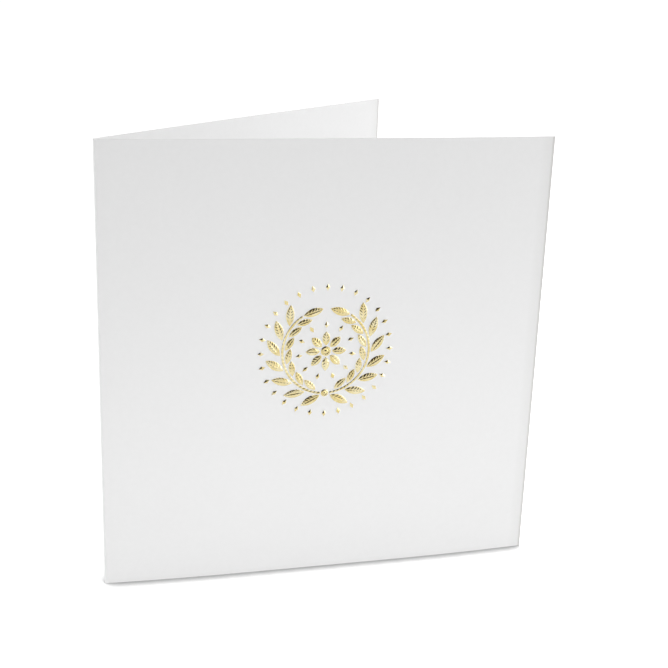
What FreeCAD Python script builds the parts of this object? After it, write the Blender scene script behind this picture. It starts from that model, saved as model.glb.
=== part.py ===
# Square greeting card, standing open on its lower edges.
# One sheet of white card is creased down its middle and folded, so that a front and a back panel
# meet at an upright fold. The front panel is embossed and stamped with metal foil: a laurel wreath
# round an eight-petalled rosette, with small diamond specks inside and outside the wreath.
#
# Millimetres. +Z is up along the fold. The fold is at -X, the panels open towards +X, and the front
# panel leans towards -Y. The origin is the middle of the footprint, on the surface it stands on.

import FreeCAD, Part
import math
import os

# Sheet
panel_width = 150.0         # from the outside of the fold to the free edge, along the panel
panel_height = 150.0
sheet_thickness = 0.4
opening_angle = 38.8        # degrees between the middles of the two panels
front_bow = 1.4             # how far the middle of the front panel stands out from its chord
back_bow = 0.85

# Fold
fold_inner_radius = 0.7
crease_bead = 0.25          # radius of the bead that the crease raises inside the fold

# Embossing and foil
foil_thickness = 0.05
rim_rise = 0.16             # height of the raised paper along the outline of a pointed shape
leaf_crest = 0.5            # height in the middle of a leaf or petal
speck_crest = 0.4
boss_crest = 0.6
stem_rise = 0.25
flank_facets = 6            # straight facets along each side of a leaf or petal
recess_inset = 0.22         # how far an outline steps in from the outside of the card to the inside
foil_gap = 0.35             # bare paper between neighbouring shapes
speck_margin = 1.1          # bare paper on each side of the inner ring of specks
stamp_margin = 1.5          # flat paper beyond the emblem, left by the stamping die

# Emblem, from its centre outwards
emblem_lift = 4.6           # centre of the emblem above the middle of the panel
emblem_shift = -1.0         # and from the middle of the panel towards the free edge
boss_radius = 1.7
boss_sides = 8
petal_length = 4.8
petal_width = 2.6
speck_length = 2.4
speck_width = 1.4
speck_pitch = 4.9           # least spacing of the specks along a ring
inner_leaf_length = 5.4
inner_leaf_width = 2.2
inner_leaf_tilt = 30.0      # degrees between a leaf and the stem
inner_leaf_phase = 0.35     # how far an inner leaf lies past its outer one, in spacings
stem_width = 0.8
outer_leaf_length = 7.2
outer_leaf_width = 2.8
outer_leaf_tilt = 34.0
tip_leaf_length = 7.0
tip_leaf_width = 2.8
knot_radius = 1.3           # boss that ties the two stems together at the bottom
wreath_mouth = 2.4          # gap between the two tip leaves at the top

pad_root = sheet_thickness / 2              # depth to which a raised shape is rooted in the sheet
fold_outer_radius = fold_inner_radius + sheet_thickness
panel_run = panel_width - fold_outer_radius     # length of a panel beside the rounded fold
half_opening = math.radians(opening_angle) / 2


def vector(x, y, z=0.0):
    return FreeCAD.Vector(x, y, z)


def on_circle(radius, angle):
    return vector(radius * math.cos(angle), radius * math.sin(angle))


def arc(start, middle, end):
    return Part.Arc(start, middle, end).toShape()


def ring_arc(radius, start, end):
    """Arc about the origin between two angles."""
    return arc(on_circle(radius, start), on_circle(radius, (start + end) / 2), on_circle(radius, end))


# Outlines, in a plane of their own with their centre on its origin

def polygon(corners):
    return Part.makePolygon(corners + corners[:1])


def flank_radius(length, width):
    """Radius of the arc along each side of a leaf with these overall sizes."""
    return (length ** 2 + width ** 2) / (4 * width)


def leaf_outline(length, width):
    """Two equal arcs that meet in a point at each end, each cut as a few straight facets."""
    radius = flank_radius(length, width)
    half_sweep = math.asin(length / 2 / radius)
    steps = [1 - 2 * k / flank_facets for k in range(flank_facets)]
    flank = [on_circle(radius, math.pi / 2 + half_sweep * step) for step in steps]
    upper = [vector(p.x, p.y + width / 2 - radius) for p in flank]
    lower = [vector(-p.x, -p.y) for p in upper]
    return polygon(upper + lower)


def diamond_corners(length, width):
    return [vector(length / 2, 0), vector(0, width / 2), vector(-length / 2, 0), vector(0, -width / 2)]


def round_corners(radius, sides):
    return [on_circle(radius, 2 * math.pi * k / sides) for k in range(sides)]


def stem_outline(radius, width, sweep):
    """A strip bent round the emblem's centre, with its middle on +X."""
    inside = radius - width / 2
    outside = radius + width / 2
    ends = [Part.makeLine(on_circle(inside, angle), on_circle(outside, angle))
            for angle in (-sweep / 2, sweep / 2)]
    return Part.Wire([ring_arc(inside, -sweep / 2, sweep / 2), ends[1],
                      ring_arc(outside, sweep / 2, -sweep / 2), ends[0]])


# Stamps: the paper pad, foil skin and inner recess of one shape, with the card's face at Z = 0

def prism(outline, low, high):
    base = Part.Face(outline)
    base.translate(vector(0, 0, low))
    return base.extrude(vector(0, 0, high - low))


def pyramid(corners, low, rim, crest):
    """Closed pyramid whose sides pass the corners at the height rim, from low up to crest."""
    spread = (crest - low) / (crest - rim)
    foot = [vector(p.x * spread, p.y * spread, low) for p in corners]
    peak = vector(0, 0, crest)
    faces = [Part.Face(polygon(foot))]
    for k, corner in enumerate(foot):
        faces.append(Part.Face(polygon([corner, foot[(k + 1) % len(foot)], peak])))
    return Part.Solid(Part.Shell(faces))


def pointed_stamp(outline, recess_outline, corners, crest):
    """Stamp of a shape whose top rises in flat facets from its rim to a crest."""
    recess_low = -sheet_thickness - pad_root
    paper_top = pyramid(corners, -pad_root, rim_rise, crest)
    foil_top = pyramid(corners, -pad_root, rim_rise + foil_thickness, crest + foil_thickness)
    recess_top = pyramid(corners, recess_low, rim_rise - sheet_thickness, crest - sheet_thickness)
    blank = prism(outline, -pad_root, crest + 2 * foil_thickness)
    pad = blank.common(paper_top)
    foil = blank.common(foil_top).cut(paper_top)
    recess = prism(recess_outline, recess_low, crest).common(recess_top)
    return pad, foil, recess


def leaf_stamp(length, width):
    point_inset = recess_inset / math.sin(2 * math.atan(width / length))
    recess = leaf_outline(length - 2 * point_inset, width - 2 * recess_inset)
    return pointed_stamp(leaf_outline(length, width), recess, diamond_corners(length, width), leaf_crest)


def speck_stamp():
    half_angle = math.atan(speck_width / speck_length)
    recess = diamond_corners(speck_length - 2 * recess_inset / math.sin(half_angle),
                             speck_width - 2 * recess_inset / math.cos(half_angle))
    corners = diamond_corners(speck_length, speck_width)
    return pointed_stamp(polygon(corners), polygon(recess), corners, speck_crest)


def boss_stamp(radius):
    corners = round_corners(radius, boss_sides)
    recess = round_corners(radius - recess_inset / math.cos(math.pi / boss_sides), boss_sides)
    return pointed_stamp(polygon(corners), polygon(recess), corners, boss_crest)


def stem_stamp(radius, sweep):
    """The stem has a flat top."""
    outline = stem_outline(radius, stem_width, sweep)
    recess_outline = stem_outline(radius, stem_width - 2 * recess_inset, sweep - 2 * recess_inset / radius)
    pad = prism(outline, -pad_root, stem_rise)
    foil = prism(outline, stem_rise, stem_rise + foil_thickness)
    recess = prism(recess_outline, -sheet_thickness - pad_root, stem_rise - sheet_thickness)
    return pad, foil, recess


# Layout of the emblem. A place is a centre (x, y) and a turn, in the plane of the cover.

class Leaf:
    """A leaf of the wreath. side is 1 outside the stem and -1 inside it.

    In a frame at the leaf's foot, whose first axis follows the stem and whose second leaves it,
    near and far are the centres of the arcs of the leaf's two flanks.
    """

    def __init__(self, length, width, tilt, side):
        self.length = length
        self.width = width
        self.tilt = math.radians(tilt)
        self.side = side
        self.flank = flank_radius(length, width)
        middle = on_circle(length / 2, self.tilt)
        offset = on_circle(self.flank - width / 2, self.tilt + math.pi / 2)
        self.near = middle + offset
        self.far = middle - offset

    def foot_outside(self, clear):
        """Radius of the foot of an outer leaf that stays outside the radius clear."""
        if self.near.x <= 0:
            return clear
        return math.sqrt((clear + self.flank) ** 2 - self.near.x ** 2) - self.near.y

    def foot_around(self, clear):
        """Radius of the foot of an inner leaf whose far flank stays outside the radius clear."""
        return math.sqrt((clear + self.flank) ** 2 - self.far.x ** 2) + self.far.y

    def reach_inside(self, foot):
        """Radius that holds the near flank of an inner leaf with this foot."""
        if self.near.x <= 0:
            return foot
        return math.hypot(self.near.x, foot - self.near.y) + self.flank

    def tip_radius(self, foot):
        return math.hypot(self.length * math.cos(self.tilt),
                          foot + self.side * self.length * math.sin(self.tilt))

    def place(self, foot, station):
        """Place of the leaf whose foot is at an angle from the bottom of the wreath."""
        heading = station - self.side * self.tilt
        centre = on_circle(foot, station - math.pi / 2) + on_circle(self.length / 2, heading)
        return centre.x, centre.y, heading


rosette_reach = boss_radius + foil_gap + petal_length
inner_speck_radius = rosette_reach + speck_margin + speck_length / 2
inner_leaf = Leaf(inner_leaf_length, inner_leaf_width, inner_leaf_tilt, -1)
outer_leaf = Leaf(outer_leaf_length, outer_leaf_width, outer_leaf_tilt, 1)
inner_foot = inner_leaf.foot_around(inner_speck_radius + speck_length / 2 + speck_margin)
wreath_radius = inner_leaf.reach_inside(inner_foot) + foil_gap + stem_width / 2
outer_foot = outer_leaf.foot_outside(wreath_radius + stem_width / 2 + foil_gap)
outer_speck_radius = outer_leaf.tip_radius(outer_foot) + foil_gap + speck_length / 2
emblem_radius = outer_speck_radius + speck_length / 2

tip_half_angle = math.asin(tip_leaf_length / 2 / wreath_radius)
tip_station = math.pi - math.asin(wreath_mouth / 2 / wreath_radius) - tip_half_angle
stem_start = (knot_radius + foil_gap) / wreath_radius
stem_end = tip_station - tip_half_angle - foil_gap / wreath_radius
stem_sweep = stem_end - stem_start


def flat_shape(outline, place):
    """The outline as a face in the plane of the emblem, for measuring gaps."""
    face = Part.Face(outline)
    turn = FreeCAD.Rotation(vector(0, 0, 1), math.degrees(place[2]))
    face.Placement = FreeCAD.Placement(vector(place[0], place[1]), turn)
    return face


def too_close(first, second):
    return first.distToShape(second)[0] < foil_gap


def mirrored(place):
    return -place[0], place[1], math.pi - place[2]


def ring_places(radius, count):
    """Places evenly round a ring, pointing away from the centre, with one at the top."""
    angles = [math.pi / 2 + 2 * math.pi * k / count for k in range(count)]
    return [(radius * math.cos(angle), radius * math.sin(angle), angle) for angle in angles]


def petal_places():
    """As many petals as stand round the boss with the gap between them."""
    radius = boss_radius + foil_gap + petal_length / 2
    petal = leaf_outline(petal_length, petal_width)
    count = int(2 * math.pi * radius / petal_width)
    places = ring_places(radius, count)
    while count > 2 and too_close(flat_shape(petal, places[0]), flat_shape(petal, places[1])):
        count -= 1
        places = ring_places(radius, count)
    return places


def speck_places(radius):
    return ring_places(radius, int(2 * math.pi * radius / speck_pitch))


def tip_place():
    """The leaf that carries on from the end of the right-hand stem."""
    centre = on_circle(wreath_radius * math.cos(tip_half_angle), tip_station - math.pi / 2)
    return centre.x, centre.y, tip_station


def leaf_places(leaf, foot, count, phase):
    step = stem_sweep / count
    return [leaf.place(foot, stem_start + step * (k + phase)) for k in range(count)]


def wreath_places():
    """Outer and inner leaves on the right, as many as keep the gap to each other and to the tip leaf."""
    tip = flat_shape(leaf_outline(tip_leaf_length, tip_leaf_width), tip_place())
    outlines = [leaf_outline(leaf.length, leaf.width) for leaf in (outer_leaf, inner_leaf)]
    count = int(stem_sweep * wreath_radius / outer_leaf_width)
    crowded = True
    while crowded and count > 2:
        count -= 1
        rows = [leaf_places(outer_leaf, outer_foot, count, 0.0),
                leaf_places(inner_leaf, inner_foot, count, inner_leaf_phase)]
        crowded = False
        for outline, row in zip(outlines, rows):
            last = flat_shape(outline, row[-1])
            crowded = crowded or too_close(last, tip) or too_close(last, flat_shape(outline, row[-2]))
    return rows


def emblem():
    """Every shape of the emblem: its stamp, with the places where it is set."""
    outer_row, inner_row = wreath_places()
    stem_turn = (stem_start + stem_end) / 2 - math.pi / 2
    right = [(leaf_stamp(outer_leaf_length, outer_leaf_width), outer_row),
             (leaf_stamp(inner_leaf_length, inner_leaf_width), inner_row),
             (leaf_stamp(tip_leaf_length, tip_leaf_width), [tip_place()]),
             (stem_stamp(wreath_radius, stem_sweep), [(0.0, 0.0, stem_turn)])]
    shapes = [(stamp, row + [mirrored(place) for place in row]) for stamp, row in right]
    shapes.append((boss_stamp(boss_radius), [(0.0, 0.0, 0.0)]))
    shapes.append((boss_stamp(knot_radius), [(0.0, -wreath_radius, 0.0)]))
    shapes.append((leaf_stamp(petal_length, petal_width), petal_places()))
    shapes.append((speck_stamp(), speck_places(inner_speck_radius) + speck_places(outer_speck_radius)))
    return shapes


# The folded sheet, drawn in plan with the centre of the fold on the origin

class Panel:
    """A panel in plan: a bow, a flat that the stamping leaves, and a bow to the free edge.

    side is -1 for the front and +1 for the back.
    """

    def __init__(self, side, bow, flat_start, flat_end):
        self.side = side
        self.flat_start = flat_start
        self.flat_end = flat_end
        self.radius = (flat_start ** 2 + (panel_run - flat_end) ** 2) / (4 * bow)

    def heading(self, along):
        """Direction of travel at a distance from the fold, as an angle from +X."""
        to_flat = max(self.flat_start - along, 0)
        past_flat = max(along - self.flat_end, 0)
        return self.side * (half_opening + (to_flat - past_flat) / self.radius)

    def normal(self, along):
        """Unit vector that points out of the closed card."""
        return on_circle(self.side, self.heading(along) + math.pi / 2)

    def point(self, along, out):
        """Point at a distance from the fold, standing out from the outer face."""
        fold_end = self.normal(0) * fold_outer_radius
        flat_point = fold_end + (self.normal(self.flat_start) - self.normal(0)) * self.radius
        on_flat = min(max(along, self.flat_start), self.flat_end) - self.flat_start
        flat_point += on_circle(on_flat, self.heading(self.flat_start))
        to_arc = (self.normal(along) - self.normal(self.flat_start)) * self.radius
        return flat_point + to_arc + self.normal(along) * out

    def face_lines(self, out):
        """The line of the outer face, or of a face inside it, from the fold to the free edge."""
        lines = []
        for start, end in ((0, self.flat_start), (self.flat_end, panel_run)):
            places = (start, (start + end) / 2, end)
            lines.append(arc(*[self.point(along, out) for along in places]))
        if self.flat_end > self.flat_start:
            lines.append(Part.makeLine(self.point(self.flat_start, out), self.point(self.flat_end, out)))
        return lines

    def free_edge(self):
        return Part.makeLine(self.point(panel_run, 0), self.point(panel_run, -sheet_thickness))


emblem_along = panel_width / 2 + emblem_shift - fold_outer_radius
emblem_height = panel_height / 2 + emblem_lift
flat_reach = emblem_radius + stamp_margin
front = Panel(-1, front_bow, emblem_along - flat_reach, emblem_along + flat_reach)
back = Panel(1, back_bow, panel_run / 2, panel_run / 2)


def fold_lines():
    """The outside of the fold, and its inside with the bead that the crease raises."""
    bead_half_angle = math.asin(crease_bead / fold_inner_radius)
    ends = {}
    for panel in (front, back):
        ends[panel.side] = math.pi - panel.side * (math.pi / 2 - abs(panel.heading(0)))
    lines = [ring_arc(fold_outer_radius, ends[-1], ends[1])]
    for side, end in ends.items():
        lines.append(ring_arc(fold_inner_radius, end, math.pi - side * bead_half_angle))
    lines.append(arc(on_circle(fold_inner_radius, math.pi + bead_half_angle),
                     vector(crease_bead - fold_inner_radius, 0),
                     on_circle(fold_inner_radius, math.pi - bead_half_angle)))
    return lines


def folded_sheet():
    """The plain folded sheet, before it is embossed."""
    lines = fold_lines()
    for panel in (front, back):
        lines += panel.face_lines(0)
        lines += panel.face_lines(-sheet_thickness)
        lines.append(panel.free_edge())
    section = Part.Face(Part.Wire(Part.sortEdges(lines)[0]))
    return section.extrude(vector(0, 0, panel_height))


def cover_frame():
    """Placement whose X runs along the cover, whose Y is up and whose Z points out of the card."""
    forward = on_circle(1, front.heading(emblem_along))
    turn = FreeCAD.Rotation(forward, vector(0, 0, 1), front.normal(emblem_along), "ZXY")
    return FreeCAD.Placement(front.point(emblem_along, 0) + vector(0, 0, emblem_height), turn)


def set_on_cover(shape, place):
    turn = FreeCAD.Rotation(vector(0, 0, 1), math.degrees(place[2]))
    placed = shape.copy()
    placed.Placement = cover_frame() * FreeCAD.Placement(vector(place[0], place[1]), turn)
    return placed


def embossed_card():
    """The embossed sheet, and the foil islands that lie on it."""
    pads = []
    foils = []
    recesses = []
    for (pad, foil, recess), places in emblem():
        for place in places:
            pads.append(set_on_cover(pad, place))
            foils += set_on_cover(foil, place).Solids
            recesses.append(set_on_cover(recess, place))
    sheet = folded_sheet().fuse(pads).cut(recesses)
    return sheet, Part.makeCompound(foils)


def to_origin():
    """The move from the centre of the fold to the middle of the footprint."""
    far_x = max(panel.point(panel_run, -sheet_thickness).x for panel in (front, back))
    sides_y = [panel.point(panel_run, 0).y for panel in (front, back)]
    return vector((fold_outer_radius - far_x) / 2, -sum(sides_y) / 2)


def save(shape, name):
    shape.translate(to_origin())
    os.makedirs("parts", exist_ok=True)
    shape.exportStep("parts/" + name + ".step")
    print(name, "solids", len(shape.Solids), "valid", shape.isValid(), "volume", round(shape.Volume, 2))
    print(shape.BoundBox)


card, foil = embossed_card()
save(Part.makeCompound(card.Solids), "folded_card")
save(foil, "foil_emblem")
print("wreath radius", round(wreath_radius, 3), "emblem radius", round(emblem_radius, 3))
print("fold centre", to_origin(), "cover frame", cover_frame())
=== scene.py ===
# %% [markdown]
# # A greeting card with a foil wreath
# The real object is one sheet of white card stock. It is creased down its middle, folded, and stood
# open on its lower edges. A heated die presses a laurel wreath of gold foil into the cover, and the
# same blow lifts the paper under the foil into relief.
#
# A card could be modelled standing up, panel by panel. Here it is made the way a printer makes it:
# drawn flat, embossed flat, stamped flat, and folded last by one Geometry Nodes group. Each foil
# shape then lies on the paper exactly, whatever the fold does.

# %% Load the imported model
import math

import bpy
import numpy as np
from mathutils import Matrix, Vector, geometry


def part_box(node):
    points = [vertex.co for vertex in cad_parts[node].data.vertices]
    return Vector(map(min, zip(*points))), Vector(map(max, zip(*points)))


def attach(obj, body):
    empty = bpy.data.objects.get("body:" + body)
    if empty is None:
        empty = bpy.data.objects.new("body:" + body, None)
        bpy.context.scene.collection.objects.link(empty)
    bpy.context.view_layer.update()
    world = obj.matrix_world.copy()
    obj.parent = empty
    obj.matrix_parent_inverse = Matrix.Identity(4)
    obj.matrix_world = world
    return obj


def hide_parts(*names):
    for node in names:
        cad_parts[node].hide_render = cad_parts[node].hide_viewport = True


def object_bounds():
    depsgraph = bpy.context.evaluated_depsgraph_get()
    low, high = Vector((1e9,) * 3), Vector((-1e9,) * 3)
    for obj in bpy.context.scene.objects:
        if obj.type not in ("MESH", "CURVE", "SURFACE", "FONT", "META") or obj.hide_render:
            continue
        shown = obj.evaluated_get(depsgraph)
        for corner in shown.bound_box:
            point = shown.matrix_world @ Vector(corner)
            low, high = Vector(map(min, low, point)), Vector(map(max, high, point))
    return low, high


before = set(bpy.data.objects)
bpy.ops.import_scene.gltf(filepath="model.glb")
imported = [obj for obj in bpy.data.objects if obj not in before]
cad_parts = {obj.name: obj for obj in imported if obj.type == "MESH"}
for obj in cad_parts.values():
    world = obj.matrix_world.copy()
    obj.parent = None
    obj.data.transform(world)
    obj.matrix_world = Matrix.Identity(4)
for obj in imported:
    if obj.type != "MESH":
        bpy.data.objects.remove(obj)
cad_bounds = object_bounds()
mm = 0.001
cad_size = cad_bounds[1] - cad_bounds[0]
print("nodes", sorted(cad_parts), "size mm", [round(x / mm, 2) for x in cad_size])

# %% [markdown]
# ## The camera
# The photograph looks down on the cover from the front left, with a moderately long lens. The
# camera's place was fitted to the card's corners and edges. It could be set by a Track To
# constraint, but the picture is also rolled by two degrees, so its three axes are worked out.

# %% Camera
camera_place = Vector((-214.7, -346.2, 210.0)) * mm
camera_heading = math.radians(34.06)     # from +Y towards +X
camera_fall = math.radians(17.94)        # below the horizon
camera_roll = math.radians(2.0)
camera_lens = 66.05                      # millimetres, on a sensor 36 mm wide

heading = Vector((math.sin(camera_heading), math.cos(camera_heading), 0))
forward = heading * math.cos(camera_fall) - Vector((0, 0, math.sin(camera_fall)))
level_right = forward.cross(Vector((0, 0, 1))).normalized()
turn = Matrix.Rotation(-camera_roll, 3, forward)
camera_right = turn @ level_right
camera_up = camera_right.cross(forward)

camera_data = bpy.data.cameras.new("camera")
camera_data.lens = camera_lens
camera_data.clip_start = 0.01
camera_data.clip_end = 50
camera = bpy.data.objects.new("camera", camera_data)
bpy.context.scene.collection.objects.link(camera)
axes = Matrix((camera_right, camera_up, -forward)).transposed()
camera.matrix_world = Matrix.Translation(camera_place) @ axes.to_4x4()
bpy.context.scene.camera = camera
print("camera", [round(x / mm) for x in camera.location], "mm")

# %% [markdown]
# ## Sizes
# These are the printer's sizes: the sheet, its fold and the die. The emblem is laid out from its
# centre outwards, and each ring takes its radius from the ring inside it.

# %% Sheet and fold
panel_width = 150.0 * mm         # from the outside of the fold to the free edge
panel_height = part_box("folded_card")[1].z
sheet_thickness = 0.4 * mm
opening_angle = math.radians(38.8)
front_bow = 1.4 * mm             # how far the middle of a panel stands out from its chord
back_bow = 0.85 * mm
fold_inner_radius = 0.7 * mm
crease_bead = 0.25 * mm          # the crease raises this inside the fold

fold_outer_radius = fold_inner_radius + sheet_thickness
panel_run = panel_width - fold_outer_radius
print("panel", [round(x / mm, 2) for x in (panel_width, panel_height, sheet_thickness)], "mm")

# %% Embossing and foil
foil_thickness = 0.05 * mm
rim_rise = 0.16 * mm             # height of the paper along the outline of a stamped shape
leaf_crest = 0.5 * mm
speck_crest = 0.4 * mm
boss_crest = 0.6 * mm
stem_crest = 0.27 * mm
shoulder_width = 0.32 * mm       # over which the paper comes down round a shape
foil_gap = 0.35 * mm
speck_margin = 1.1 * mm
stamp_margin = 1.5 * mm          # flat paper beyond the emblem

emblem_lift = 4.6 * mm           # above the middle of the panel
emblem_shift = -1.0 * mm         # towards the free edge
boss_radius = 1.7 * mm
petal_size = (4.8 * mm, 2.6 * mm)
speck_size = (2.4 * mm, 1.4 * mm)
speck_pitch = 4.9 * mm
inner_leaf_size = (5.4 * mm, 2.2 * mm)
outer_leaf_size = (7.2 * mm, 2.8 * mm)
tip_leaf_size = (7.0 * mm, 2.8 * mm)
inner_leaf_tilt = math.radians(30)
outer_leaf_tilt = math.radians(34)
inner_leaf_phase = 0.35          # how far an inner leaf lies past its outer one, in spacings
leaf_stations = 7                # pairs of leaves on each stem
petal_count = 8
stem_width = 0.8 * mm
knot_radius = 1.3 * mm
wreath_mouth = 2.4 * mm          # between the two tip leaves
print(petal_count, "petals, and", leaf_stations, "pairs of leaves on each stem")


# %% [markdown]
# A leaf is the overlap of two equal circles. Where its foot has to stand so that it just clears the
# ring inside it, or the stem, is a question about those two circles' centres.

# %% Radii of the rings
def flank_radius(length, width):
    return (length ** 2 + width ** 2) / (4 * width)


def flank_centre(size, tilt, side):
    """Centre of a leaf's flank, from the leaf's foot: along the stem, and away from it."""
    length, width = size
    reach = flank_radius(length, width) - width / 2
    return (length / 2 * math.cos(tilt) - side * reach * math.sin(tilt),
            length / 2 * math.sin(tilt) + side * reach * math.cos(tilt))


rosette_reach = boss_radius + foil_gap + petal_size[0]
inner_speck_radius = rosette_reach + speck_margin + speck_size[0] / 2
inner_clear = inner_speck_radius + speck_size[0] / 2 + speck_margin
inner_flank = flank_radius(*inner_leaf_size)
far = flank_centre(inner_leaf_size, inner_leaf_tilt, -1)
near = flank_centre(inner_leaf_size, inner_leaf_tilt, 1)
inner_foot = math.sqrt((inner_clear + inner_flank) ** 2 - far[0] ** 2) + far[1]
inner_reach = inner_foot if near[0] <= 0 else math.hypot(near[0], inner_foot - near[1]) + inner_flank
wreath_radius = inner_reach + foil_gap + stem_width / 2

outer_clear = wreath_radius + stem_width / 2 + foil_gap
outer_flank = flank_radius(*outer_leaf_size)
near = flank_centre(outer_leaf_size, outer_leaf_tilt, 1)
outer_foot = outer_clear
if near[0] > 0:
    outer_foot = math.sqrt((outer_clear + outer_flank) ** 2 - near[0] ** 2) - near[1]
outer_tip = math.hypot(outer_leaf_size[0] * math.cos(outer_leaf_tilt),
                       outer_foot + outer_leaf_size[0] * math.sin(outer_leaf_tilt))
outer_speck_radius = outer_tip + foil_gap + speck_size[0] / 2
emblem_radius = outer_speck_radius + speck_size[0] / 2

tip_half_angle = math.asin(tip_leaf_size[0] / 2 / wreath_radius)
tip_station = math.pi - math.asin(wreath_mouth / 2 / wreath_radius) - tip_half_angle
stem_start = (knot_radius + foil_gap) / wreath_radius
stem_end = tip_station - tip_half_angle - foil_gap / wreath_radius
leaf_step = (stem_end - stem_start) / leaf_stations
print("wreath radius", round(wreath_radius / mm, 3), "mm, emblem radius",
      round(emblem_radius / mm, 3), "mm")

# %% [markdown]
# ## The line that everything is folded along
# Seen from above, the outside of the card is one line: the back panel's gentle bow, the tight turn
# of the fold, then the front panel's bow with a flat that the stamping die leaves in it. It could be
# a drawn curve. Here it is walked: each stretch is a length and a turn, so it stays a true
# development of the flat sheet, and a distance on the sheet is a distance along the line.

# %% Walk the section
emblem_along = panel_width / 2 + emblem_shift - fold_outer_radius
emblem_height = panel_height / 2 + emblem_lift
flat_start = emblem_along - emblem_radius - stamp_margin
flat_end = emblem_along + emblem_radius + stamp_margin
front_radius = (flat_start ** 2 + (panel_run - flat_end) ** 2) / (4 * front_bow)
back_radius = panel_run ** 2 / 8 / back_bow
front_heading = -opening_angle / 2 - flat_start / front_radius
back_heading = math.pi + opening_angle / 2 + panel_run / 2 / back_radius
fold_turn = front_heading + 2 * math.pi - back_heading
fold_length = fold_turn * fold_outer_radius

stretches = [
    (panel_run, panel_run / back_radius),
    (fold_length, fold_turn),
    (flat_start, flat_start / front_radius),
    (flat_end - flat_start, 0),
    (panel_run - flat_end, (panel_run - flat_end) / front_radius),
]
walk_step = 0.5 * mm
walk_turn = math.radians(2)
angle = back_heading - panel_run / back_radius
section = [Vector((0, 0, 0))]
for length, turned in stretches:
    steps = math.ceil(max(length / walk_step, turned / walk_turn))
    for _ in range(steps):
        middle = angle + turned / steps / 2
        section.append(section[-1] + Vector((math.cos(middle), math.sin(middle), 0)) * length / steps)
        angle += turned / steps
print(len(section), "points along", len(stretches), "stretches")

# %% Draw the section
card_low, card_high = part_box("folded_card")
shift = Vector((card_low.x - min(p.x for p in section),
                (card_low.y + card_high.y - section[0].y - section[-1].y) / 2, 0))
section = [p + shift for p in section]

section_curve = bpy.data.curves.new("section", "CURVE")
section_curve.dimensions = "3D"
spline = section_curve.splines.new("POLY")
spline.points.add(len(section) - 1)
for point, place in zip(spline.points, section):
    point.co = (*place, 1)
section_line = bpy.data.objects.new("section_line", section_curve)
bpy.context.scene.collection.objects.link(section_line)
print("section", len(section), "points, from", [round(x / mm, 2) for x in section[0]],
      "to", [round(x / mm, 2) for x in section[-1]])


# %% [markdown]
# ## Geometry Nodes, a node at a time
# Every tree and every material below is wired by one small function. It adds a node, sets what it is
# told to, and links or fills its inputs.

# %% Add a node
def add(tree, kind, inputs=None, **settings):
    """Add a node. inputs maps a socket's name or number to a value, to an output of another node,
    or to the whole node, which stands for its first output."""
    node = tree.nodes.new(kind)
    for name, value in settings.items():
        setattr(node, name, value)
    for socket, value in (inputs or {}).items():
        if isinstance(value, bpy.types.Node):
            value = value.outputs[0]
        if isinstance(value, bpy.types.NodeSocket):
            tree.links.new(value, node.inputs[socket])
        else:
            node.inputs[socket].default_value = value
    return node


def new_tree(name, **sockets):
    """An empty geometry tree with a Geometry input and output and these named inputs."""
    tree = bpy.data.node_groups.new(name, "GeometryNodeTree")
    for socket, kind in {"Geometry": "Geometry", **sockets}.items():
        tree.interface.new_socket(socket.replace("_", " "), in_out="INPUT",
                                  socket_type="NodeSocket" + kind)
    tree.interface.new_socket("Geometry", in_out="OUTPUT", socket_type="NodeSocketGeometry")
    given = add(tree, "NodeGroupInput").outputs
    return tree, given


def mesh_object(name, mesh):
    made = bpy.data.objects.new(name, mesh)
    bpy.context.scene.collection.objects.link(made)
    return made


def run_tree(name, source, tree, **values):
    """A plain mesh object: what the tree makes of the source object, without empty material slots."""
    modifier = source.modifiers.new("nodes", "NODES")
    modifier.node_group = tree
    for item in tree.interface.items_tree:
        key = item.name.replace(" ", "_")
        if item.in_out == "INPUT" and key in values:
            modifier[item.identifier] = values[key]
    evaluated = source.evaluated_get(bpy.context.evaluated_depsgraph_get())
    mesh = bpy.data.meshes.new_from_object(evaluated)
    source.modifiers.remove(modifier)
    mesh.name = name
    for slot in reversed(range(len(mesh.materials))):
        if mesh.materials[slot] is None:
            mesh.materials.pop(index=slot)
    return mesh_object(name, mesh)


# %% [markdown]
# The fold is a group of its own. A point of the flat sheet is (along, up, out): along the sheet from
# where the front panel starts, up the card, and out from its face. Sample Curve gives the place and
# direction at that distance along the section. The direction turned by a right angle is the way out.

# %% Fold group
fold_group, given = new_tree("fold along the section", Section="Object", Start="Float")
position = add(fold_group, "GeometryNodeInputPosition")
flat = add(fold_group, "ShaderNodeSeparateXYZ", {0: position})
line = add(fold_group, "GeometryNodeObjectInfo", {"Object": given["Section"]}).outputs["Geometry"]
distance = add(fold_group, "ShaderNodeMath", {0: flat.outputs["X"], 1: given["Start"]}, operation="ADD")
sample = add(fold_group, "GeometryNodeSampleCurve", {"Curves": line, "Length": distance}, mode="LENGTH")
outward = add(fold_group, "ShaderNodeVectorMath", {0: sample.outputs["Tangent"], 1: (0, 0, 1)},
              operation="CROSS_PRODUCT")
outward = add(fold_group, "ShaderNodeVectorMath", {0: outward}, operation="NORMALIZE")
lifted = add(fold_group, "ShaderNodeVectorMath", {0: outward, "Scale": flat.outputs["Z"]},
             operation="SCALE")
upright = add(fold_group, "ShaderNodeCombineXYZ", {"Z": flat.outputs["Y"]})
place = add(fold_group, "ShaderNodeVectorMath", {0: sample.outputs["Position"], 1: upright},
            operation="ADD")
place = add(fold_group, "ShaderNodeVectorMath", {0: place, 1: lifted}, operation="ADD")
folded = add(fold_group, "GeometryNodeSetPosition", {"Geometry": given["Geometry"], "Position": place})
add(fold_group, "NodeGroupOutput", {0: folded})
front_start = panel_run + fold_length
print("fold group", len(fold_group.nodes), "nodes, front panel from", round(front_start / mm, 2), "mm")


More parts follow.
